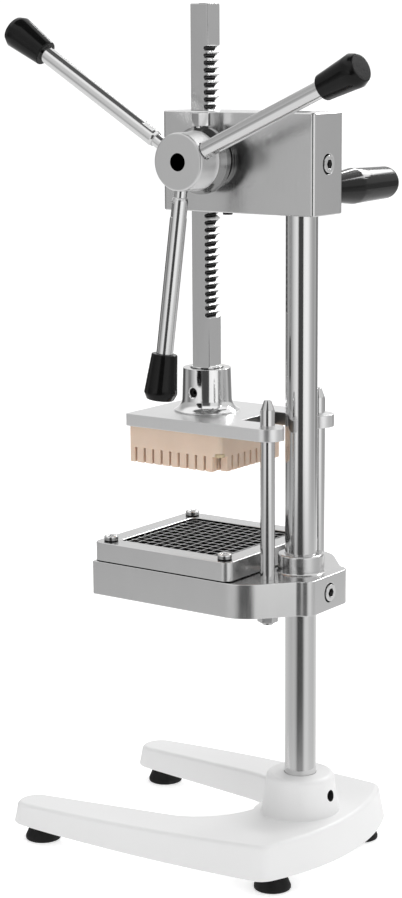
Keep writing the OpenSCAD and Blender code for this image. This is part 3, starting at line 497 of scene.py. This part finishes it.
# ---- Feet ----
# Four moulded rubber feet, wider on the worktop than under the casting, each held
# by a pan-head screw from below. The rubber is matt, with faint patches of dust.
foot_gap, foot_front, foot_rear_gap, foot_rear = 203, 237, 156, 20
foot_r, foot_top_r, foot_edge, foot_hole_r = 17.4, 11.5, 3, 5
hole_round, rim_round, cone_round, top_round = 0.5, 1.2, 1.5, 0.3


def repeated(points, pattern, material):
    """A Geometry Nodes tree sets the pattern on each point and returns one mesh."""
    tree = bpy.data.node_groups.new("set_on_points", "GeometryNodeTree")
    tree.interface.new_socket("Points", in_out="INPUT", socket_type="NodeSocketGeometry")
    tree.interface.new_socket("Pattern", in_out="INPUT", socket_type="NodeSocketObject")
    tree.interface.new_socket("Finish", in_out="INPUT", socket_type="NodeSocketMaterial")
    tree.interface.new_socket("Result", in_out="OUTPUT", socket_type="NodeSocketGeometry")
    start = tree.nodes.new("NodeGroupInput")
    info = tree.nodes.new("GeometryNodeObjectInfo")
    put = tree.nodes.new("GeometryNodeInstanceOnPoints")
    real = tree.nodes.new("GeometryNodeRealizeInstances")
    paint = tree.nodes.new("GeometryNodeSetMaterial")
    end = tree.nodes.new("NodeGroupOutput")
    for source, target in ((start.outputs["Points"], put.inputs["Points"]),
                           (start.outputs["Pattern"], info.inputs["Object"]),
                           (info.outputs["Geometry"], put.inputs["Instance"]),
                           (put.outputs["Instances"], real.inputs["Geometry"]),
                           (real.outputs["Geometry"], paint.inputs["Geometry"]),
                           (start.outputs["Finish"], paint.inputs["Material"]),
                           (paint.outputs["Geometry"], end.inputs["Result"])):
        tree.links.new(source, target)
    dots = bpy.data.meshes.new("points")
    dots.from_pydata([Vector(p) for p in points], [], [])
    template = bpy.data.objects.new("pattern", pattern)
    holder = bpy.data.objects.new("holder", dots)
    for made in (template, holder):
        scene.collection.objects.link(made)
    modifier = holder.modifiers.new("set", "NODES")
    modifier.node_group = tree
    sockets = {item.name: item.identifier for item in tree.interface.items_tree
               if item.in_out == "INPUT"}
    modifier[sockets["Pattern"]] = template
    modifier[sockets["Finish"]] = material
    result = evaluated_mesh(holder)
    holder.modifiers.clear()
    bpy.data.objects.remove(holder)
    bpy.data.objects.remove(template)
    return result


feet_at = [(s * gap / 2, y, 0) for gap, y in ((foot_gap, -foot_front), (foot_rear_gap, foot_rear))
           for s in (-1, 1)]
foot = bmesh.new()
turned(foot, ((0, foot_h / 2, 0), (foot_hole_r, foot_h / 2, 0), (foot_hole_r, 0, hole_round),
              (foot_r, 0, rim_round), (foot_r, foot_edge, cone_round),
              (foot_top_r, foot_h, top_round), (0, foot_h, 0)), facets=64)
rubber, skin = new_skin("black_rubber")
dust = skin.ramp(skin.noise(even, size=0.012), (0.45, 0.0), (0.75, 1.0))
grit = skin.noise(even, size=0.0006, detail=2.0)
skin.close(Base_Color=skin.tint(dust, grey(0.006), grey(0.014)), Roughness=0.5 + grit * 0.2,
           Specular_IOR_Level=0.25, Normal=skin.bump(grit, depth=0.00003))
feet_mesh = repeated(feet_at, mesh_of(foot), rubber)
feet_mesh.transform(to_metres)
finished("rubber_feet", feet_mesh, "frame", "foot_rubber", rubber, "feet")


weld, flat = 2e-6, math.radians(0.6)


def refined(node, width=0.4, steps=2, angle=35):
    """A copy of a machined node with its sharp edges broken by a small round."""
    bm = bmesh.new()
    bm.from_mesh(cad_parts[node].data)
    bmesh.ops.remove_doubles(bm, verts=bm.verts, dist=weld)
    bmesh.ops.dissolve_limit(bm, angle_limit=flat, verts=bm.verts, edges=bm.edges)
    mesh = mesh_of(bm)
    settings = {"width": width * mm, "segments": steps, "limit_method": "ANGLE",
                "angle_limit": math.radians(angle), "use_clamp_overlap": False}
    return changed(mesh, "BEVEL", settings)


zinc, skin = new_skin("zinc_plate")
bloom = skin.noise(even, size=0.004)
skin.close(Base_Color=skin.tint(bloom, grey(0.55), grey(0.7)), Metallic=1.0,
           Roughness=0.22 + bloom * 0.16)
finished("foot_pan_screws", refined("foot_screws", width=0.5), "frame", "zinc_steel", zinc,
         "foot_screws")

black_oxide, skin = new_skin("black_oxide")
bloom = skin.noise(even, size=0.002)
skin.close(Base_Color=skin.tint(bloom, grey(0.02), grey(0.05)), Metallic=1.0,
           Roughness=0.3 + bloom * 0.2)
finished("base_set_screw", refined("base_screw", width=0.4), "frame", "black_steel", black_oxide,
         "base_screw")

# ---- Column ----
# A round bar of bright steel, ground and polished along its whole length, clamped
# in the base, the table and the head by screws from the rear.
column_z, column_top = column_low.z / mm, column_high.z / mm
bar_foot_round, bar_top_round = 0.6, 0.8


def polished_steel(name, tone, rough, stretch, grain=0.003, dark=None, dull=None, rise=None):
    """Bright steel: fine streaks run the way it was ground, with faint cloudy patches.
    dark gives the share of painted shade, near black; dull the share of dull metal; rise a height
    in mm."""
    material, skin = new_skin(name)
    streaks = skin.noise(stretch, size=grain, detail=4.0)
    clouds = skin.noise(even, size=0.03)
    color = skin.tint(streaks * 0.7 + clouds * 0.3, grey(tone * 0.95), grey(tone))
    polish = rough + (streaks - 0.5) * 0.05 + (clouds - 0.5) * 0.04
    if dull:
        share = dull(skin)
        color = skin.tint(share, color, grey(tone * 0.8))
        polish = polish + share * 0.2
    if dark:
        # painted shade, near black, where dark says
        color = skin.tint(dark(skin), color, grey(0.01))
    height = streaks * 0.003 + rise(skin) if rise else streaks * 0.003
    skin.close(Base_Color=color, Metallic=1.0, Roughness=polish, Normal=skin.bump(height, depth=mm))
    return material


column_steel = polished_steel("column_steel", tone=0.74, rough=0.11, stretch=(1, 1, 0.02))
bar = bmesh.new()
turned(bar, ((0, column_z, 0), (column_r, column_z, bar_foot_round),
             (column_r, column_top, bar_top_round), (0, column_top, 0)), facets=128)
bar_mesh = mesh_of(bar)
bar_mesh.transform(to_metres)
finished("column_bar", bar_mesh, "frame", "bright_steel", column_steel, "column")

# ---- Table ----
# A bracket of light metal, milled and belt ground, that is clamped on the column by
# a screw from the rear. A collar turned on its top stands round the column.
table_back, table_mid = 32.5, 268
seat_r, seat_deep, seat_gap = 9, 6, 0.1
cap_out, hex_deep, floor_shade = 1.3, 4, 0.6


def ground_metal(name, tone, rough, stretch, dark=None):
    """Satin metal: close straight lines from the grinding belt, uneven in gloss.
    dark gives the share of painted shade, near black, over the piece."""
    material, skin = new_skin(name)
    lines = skin.noise(stretch, size=0.0016, detail=5.0)
    clouds = skin.noise(even, size=0.025)
    nicks = skin.ramp(skin.noise(even, size=0.0012, detail=1.0), (0.72, 0.0), (0.78, 1.0))
    color = skin.tint(lines * 0.6 + clouds * 0.4, grey(tone * 0.93), grey(tone))
    if dark:
        # painted shade, near black, where dark says
        color = skin.tint(dark(skin), color, grey(0.01))
    skin.close(Base_Color=color, Metallic=1.0,
               Roughness=rough + (lines - 0.5) * 0.08 + (clouds - 0.5) * 0.06,
               Normal=skin.bump(lines + nicks * -0.5, depth=0.000003))
    return material


def sunk_round(back, height):
    """The shade in the round seat of a clamp screw, in a rear face at back."""
    def shade(skin):
        side, up = skin.at("X"), skin.at("Z", height)
        in_seat = side * side + up * up < (seat_r + seat_gap) ** 2
        return in_seat * (skin.at("Y", back) > -seat_deep)
    return shade


def screw_floor_shade(back):
    """Painted shade on the floor of the hexagon socket in a clamp screw's head."""
    return lambda skin: skin.at("Y", back + cap_out) < floor_shade - hex_deep


table_metal = ground_metal("table_metal", tone=0.7, rough=0.2, stretch=(1, 1, 0.06),
                           dark=sunk_round(table_back, table_mid))
finished("table_bracket", refined("table", width=0.9, steps=3), "frame", "cast_metal", table_metal,
         "table")
clamp_zinc = polished_steel("clamp_zinc", tone=0.85, rough=0.22, stretch=even,
                            dark=screw_floor_shade(table_back))
finished("table_clamp_screw", refined("table_screw", width=0.3), "frame", "black_steel", clamp_zinc,
         "table_screw")

# ---- Blade frame ----
# A square frame of the same light metal, screwed down at its corners. Two rows of
# thin steel blades stand on edge in it, a fry's width apart, and each is notched to
# half its height so that the rows cross with their edges flush.
fry, cells = 10, 11
blade_t, blade_h, blade_l, blade_slot, slot_gap = 0.8, 14, 128, 1.0, 0.1
ram_y = -107.3
table_top, frame_h, blade_drop = 284.5, 19, 1.5
frame_top = table_top + frame_h
blade_top = frame_top - blade_drop
seam_h, mouth_half, mouth_edge, wall_dark = 1.2, 60.4, 0.9, 0.9
edge_h, blade_dark = 0.6, 0.75


def frame_shade(skin):
    """Painted shade: a dark band along the seam under the frame, and on its inner walls down
    between the blades.
    """
    inside = (abs(skin.at("X")) < mouth_half) * (abs(skin.at("Y", ram_y)) < mouth_half)
    wall = inside * (skin.at("Z", frame_top) < -mouth_edge) * wall_dark
    return (skin.at("Z", table_top) < seam_h) + wall


frame_metal = ground_metal("frame_metal", tone=0.7, rough=0.24, stretch=(1, 1, 0.3),
                           dark=frame_shade)
finished("blade_holder", refined("blade_frame", width=0.8, steps=3), "frame", "cast_metal",
         frame_metal, "blade_frame")


def comb(open_side):
    """One blade on edge, cut to half its height where it crosses the others. Its
    notches open upwards, or downwards where open_side is -1."""
    half = blade_h / 2
    line = [(-blade_l / 2, -half), (blade_l / 2, -half), (blade_l / 2, half)]
    for k in range(cells, -1, -1):
        cross = (k - cells / 2) * fry
        line += [(cross + blade_slot / 2, half), (cross + blade_slot / 2, -slot_gap),
                 (cross - blade_slot / 2, -slot_gap), (cross - blade_slot / 2, half)]
    line.append((-blade_l / 2, half))
    bm = bmesh.new()
    face = bm.faces.new([bm.verts.new((x, -blade_t / 2, z * open_side)) for x, z in line])
    grown = bmesh.ops.extrude_face_region(bm, geom=[face])["geom"]
    far_side = [v for v in grown if isinstance(v, bmesh.types.BMVert)]
    bmesh.ops.translate(bm, vec=(0, blade_t, 0), verts=far_side)
    bmesh.ops.recalc_face_normals(bm, faces=bm.faces)
    return mesh_of(bm)


def below_edge(skin):
    """Painted shade on the blades' sides, which see only each other; their top edges stay bright.
    """
    return (skin.at("Z", blade_top) < -edge_h) * blade_dark


blade_steel = polished_steel("blade_steel", tone=0.8, rough=0.25, stretch=(0.2, 0.2, 1),
                             grain=0.002, dark=below_edge)
row_at = [(0, (k - cells / 2) * fry, 0) for k in range(cells + 1)]
for node, turn, open_side in (("blades_across", 0, -1), ("blades_along", 90, 1)):
    row = repeated(row_at, comb(open_side), blade_steel)
    row_place = Matrix.Translation((0, ram_y, blade_top - blade_h / 2))
    row.transform(row_place @ Matrix.Rotation(math.radians(turn), 4, "Z"))
    row.transform(to_metres)
    finished(node.replace("blades", "blade_row"), row, "frame", "blade_steel", blade_steel, node)

bolt_half, pan_h, cross_r = 66.5, 5.4, 4.3
cross_from, under_from, under_dark, foot_line = 0.8, 1.8, 0.5, 1.0


def pan_shade(skin):
    """Painted shade in the cross in each screw's head, at the head's foot, and half dark on the
    lower sides of the head.
    """
    side, ahead = abs(skin.at("X")) - bolt_half, abs(skin.at("Y", ram_y)) - bolt_half
    height = skin.at("Z", frame_top)
    cross = (side * side + ahead * ahead < cross_r ** 2) * (height < pan_h - cross_from)
    return cross + (height < foot_line) + (height < pan_h - under_from) * under_dark


screw_zinc = polished_steel("screw_zinc", tone=0.8, rough=0.14, stretch=even, dark=pan_shade)
finished("frame_corner_screws", refined("frame_screws", width=0.4), "frame", "zinc_steel",
         screw_zinc, "frame_screws")

# ---- Guide rods ----
# Two polished steel rods stand in the table with coned tips and guide the plate's
# ears. A hexagon nut under the table holds each.
rod_steel = polished_steel("rod_steel", tone=0.7, rough=0.11, stretch=(1, 1, 0.03), grain=0.002)
finished("rods", refined("guide_rods", width=0.3), "frame", "bright_steel", rod_steel, "guide_rods")
finished("rod_hex_nuts", refined("rod_nuts", width=0.5), "frame", "zinc_steel", zinc, "rod_nuts")

# ---- Head ----
# A solid block of light metal that clamps on top of the column and carries the
# pinion's shaft. Its faces are belt ground, and the rack slides through it.
head_back, head_mid = 28.5, 665
head_metal = ground_metal("head_metal", tone=0.72, rough=0.22, stretch=(1, 1, 0.05),
                          dark=sunk_round(head_back, head_mid))
finished("head_block", refined("head", width=0.9, steps=1), "frame", "cast_metal", head_metal,
         "head")
head_zinc = polished_steel("head_zinc", tone=0.85, rough=0.22, stretch=even,
                           dark=screw_floor_shade(head_back))
finished("head_clamp_screw", refined("head_screw", width=0.3), "frame", "black_steel", head_zinc,
         "head_screw")
# painted shade: the bush's steel is coloured far darker than bright steel, as it sits in the dark
# behind the hub's rim
bush_steel_in_shade = polished_steel("bush_steel_in_shade", tone=0.22, rough=0.2, stretch=even)
finished("shaft_bush", refined("bush", width=0.4), "frame", "bright_steel", bush_steel_in_shade, "bush")
finished("plug", refined("plug_screw", width=0.4), "frame", "black_steel", black_oxide,
         "plug_screw")

# ---- Grip ----
# A fixed grip of glossy black plastic to steady the machine by, screwed to the
# head's far side on a steel stud.
black_plastic, skin = new_skin("black_plastic")
scuff = skin.noise(even, size=0.004, detail=4.0)
skin.close(Base_Color=skin.tint(scuff, grey(0.002), grey(0.005)), Roughness=0.08 + scuff * 0.06,
           Specular_IOR_Level=0.22, Normal=skin.bump(scuff, depth=0.00001))
finished("side_grip", refined("grip", width=0.6, steps=3), "frame", "black_plastic", black_plastic,
         "grip")
finished("grip_rod", refined("grip_stud", width=0.3), "frame", "zinc_steel", zinc, "grip_stud")

# ---- Rack ----
# A square bar of steel with teeth milled into the side that faces the pinion. It
# slides in the head and carries the pusher at its lower end.
rack_half, rack_clean, gullet_from, gullet_to, gullet_dark = 10, 0.3, 0.8, 3.4, 0.9


def gullet_shade(skin):
    """Painted shade between the teeth, darker towards their roots, none on their tips."""
    depth = skin.step(skin.at("Y", ram_y + rack_half), -gullet_from, -gullet_to)
    inner = abs(skin.at("X")) < rack_half - rack_clean
    return depth * inner * (skin.at("Y", ram_y) > 0) * gullet_dark


rack_steel = ground_metal("rack_steel", tone=0.66, rough=0.19, stretch=(1, 1, 0.05), dark=gullet_shade)
finished("rack_bar", refined("rack", width=0.8, steps=1), "ram", "bright_steel", rack_steel, "rack")

# ---- Socket ----
# A turned and polished socket that flares out on the plate. The rack stands in its
# square hole and is held by a set screw.
socket_rim, rim_reach, lip_r, lip_w = 469.4, 0.5, 15.7, 0.8


def lip_shade(skin):
    """Painted shade: a fine dark line on the socket's top, round the foot of its lip."""
    side, ahead = skin.at("X"), skin.at("Y", ram_y)
    far = side * side + ahead * ahead
    ring = (far > lip_r ** 2) * (far < (lip_r + lip_w) ** 2)
    return ring * (abs(skin.at("Z", socket_rim)) < rim_reach)


socket_metal = polished_steel("socket_metal", tone=0.8, rough=0.1, stretch=even, grain=0.004,
                              dark=lip_shade)
finished("rack_socket", refined("socket", width=0.4, steps=2, angle=40), "ram", "cast_metal",
         socket_metal, "socket")
finished("socket_set_screw", refined("socket_screw", width=0.3), "ram", "black_steel", black_oxide,
         "socket_screw")
finished("socket_hidden_bolts", refined("socket_bolts", width=0.2), "ram", "zinc_steel", zinc,
         "socket_bolts")

# ---- Plate and pusher ----
# A flat plate of light metal with two ears that ride on the rods. Below it hangs
# the pusher, a block of cream plastic cut into teeth that pass between the blades.
plate_top, plate_t, notch_half, notch_y = 427.7, 12, 27.3, -48
notch_reach, bright_edge, low_edge, notch_dark = 0.5, 0.06, 0.3, 0.68


def notch_shade(skin):
    """Painted shade on the notch's walls, which face only each other and the column."""
    side, down = abs(skin.at("X")), skin.at("Z", plate_top)
    inside = (side < notch_half + notch_reach) * (skin.at("Y") > notch_y - notch_reach)
    return inside * (down < -bright_edge) * (down > low_edge - plate_t) * notch_dark


plate_metal = ground_metal("plate_metal", tone=0.84, rough=0.3, stretch=(1, 1, 0.12),
                           dark=notch_shade)
finished("pressure_plate", refined("plate", width=0.6, steps=3), "ram", "cast_metal", plate_metal,
         "plate")

deep_cream, pale_cream = (0.66, 0.51, 0.40, 1), (0.74, 0.585, 0.47, 1)
cream, skin = new_skin("cream_plastic")
cloud = skin.noise(even, size=0.02)
pores = skin.noise(even, size=0.0008, detail=2.0)
skin.close(Base_Color=skin.tint(cloud, deep_cream, pale_cream), Roughness=0.42 + pores * 0.15,
           Subsurface_Weight=0.4, Subsurface_Radius=(1.0, 0.7, 0.5), Subsurface_Scale=0.004,
           Normal=skin.bump(pores, depth=0.00002))
finished("pusher_block", refined("pusher", width=0.5), "ram", "cream_plastic", cream, "pusher")

deep_yellow, pale_yellow = (0.62, 0.50, 0.32, 1), (0.74, 0.62, 0.42, 1)
yellow_zinc, skin = new_skin("yellow_zinc")
bloom = skin.noise(even, size=0.004)
skin.close(Base_Color=skin.tint(bloom, deep_yellow, pale_yellow), Metallic=0.6,
           Roughness=0.35 + bloom * 0.15)
finished("pusher_hidden_screws", refined("pusher_screws", width=0.2), "ram", "zinc_steel",
         yellow_zinc, "pusher_screws")

# ---- Pinion and shaft ----
# A turned steel shaft runs in the head's bush. The cut steel pinion is keyed on it
# inside the head and drives the rack.
shaft_end, end_shade = 60, 1


def shaft_tip_shade(skin):
    """Painted shade on the shaft's end, deep in the hub's bore."""
    return skin.at("X", shaft_end) > -end_shade


gear_steel = polished_steel("gear_steel", tone=0.45, rough=0.3, stretch=(0.1, 1, 1))
shaft_steel = polished_steel("shaft_steel", tone=0.6, rough=0.2, stretch=(0.03, 1, 1), grain=0.002,
                             dark=shaft_tip_shade)
finished("drive_shaft", refined("shaft", width=0.4), "handwheel", "bright_steel", shaft_steel,
         "shaft")
finished("drive_pinion", refined("pinion", width=0.15), "handwheel", "gear_steel", gear_steel,
         "pinion")
finished("drive_key", refined("pinion_key", width=0.2), "handwheel", "gear_steel", gear_steel,
         "pinion_key")

# ---- Handwheel ----
# A turned hub on the shaft, with three steel arms screwed into it and a black
# plastic knob on each. A hexagon bolt in its rim locks it to the shaft.
hub_y, hub_z, hub_bore_r = -82.3713, 667.5, 8.2
rim_end, rim_reflection_dark, barrel_slope = 52, 0.7, math.tan(math.radians(9))


def hub_shade_and_reflection(skin):
    """Painted shade in the hub's bore, and a painted dark reflection on its neck and rim, which
    mirror the dark side of the room; both darker than the barrel.
    """
    ahead, up = skin.at("Y", hub_y), skin.at("Z", hub_z)
    in_bore = ahead * ahead + up * up < hub_bore_r ** 2
    return in_bore + (skin.at("X") < rim_end) * rim_reflection_dark


def barrel(skin):
    """The turned barrel in front of the rim, a little duller."""
    return skin.at("X") > rim_end


def barrel_rise(skin):
    """Tilts the light on the barrel, as if it narrowed towards its open end."""
    return skin.at("X") * -barrel_slope


hub_metal = polished_steel("hub_metal", tone=0.9, rough=0.16, stretch=(0.1, 1, 1), grain=0.003,
                           dark=hub_shade_and_reflection, dull=barrel, rise=barrel_rise)
finished("wheel_hub", refined("hub", width=0.4), "handwheel", "bright_steel", hub_metal, "hub")
arm_steel = polished_steel("arm_steel", tone=0.74, rough=0.13, stretch=even, grain=0.004)
finished("wheel_arms", refined("arms", width=0.3), "handwheel", "bright_steel", arm_steel, "arms")
finished("wheel_knobs", refined("knobs", width=1.0, steps=4), "handwheel", "black_plastic",
         black_plastic, "knobs")
bolt_zinc = polished_steel("bolt_zinc", tone=0.85, rough=0.12, stretch=even)
finished("hub_lock_bolt", refined("lock_bolt", width=0.5), "handwheel", "zinc_steel", bolt_zinc,
         "lock_bolt")
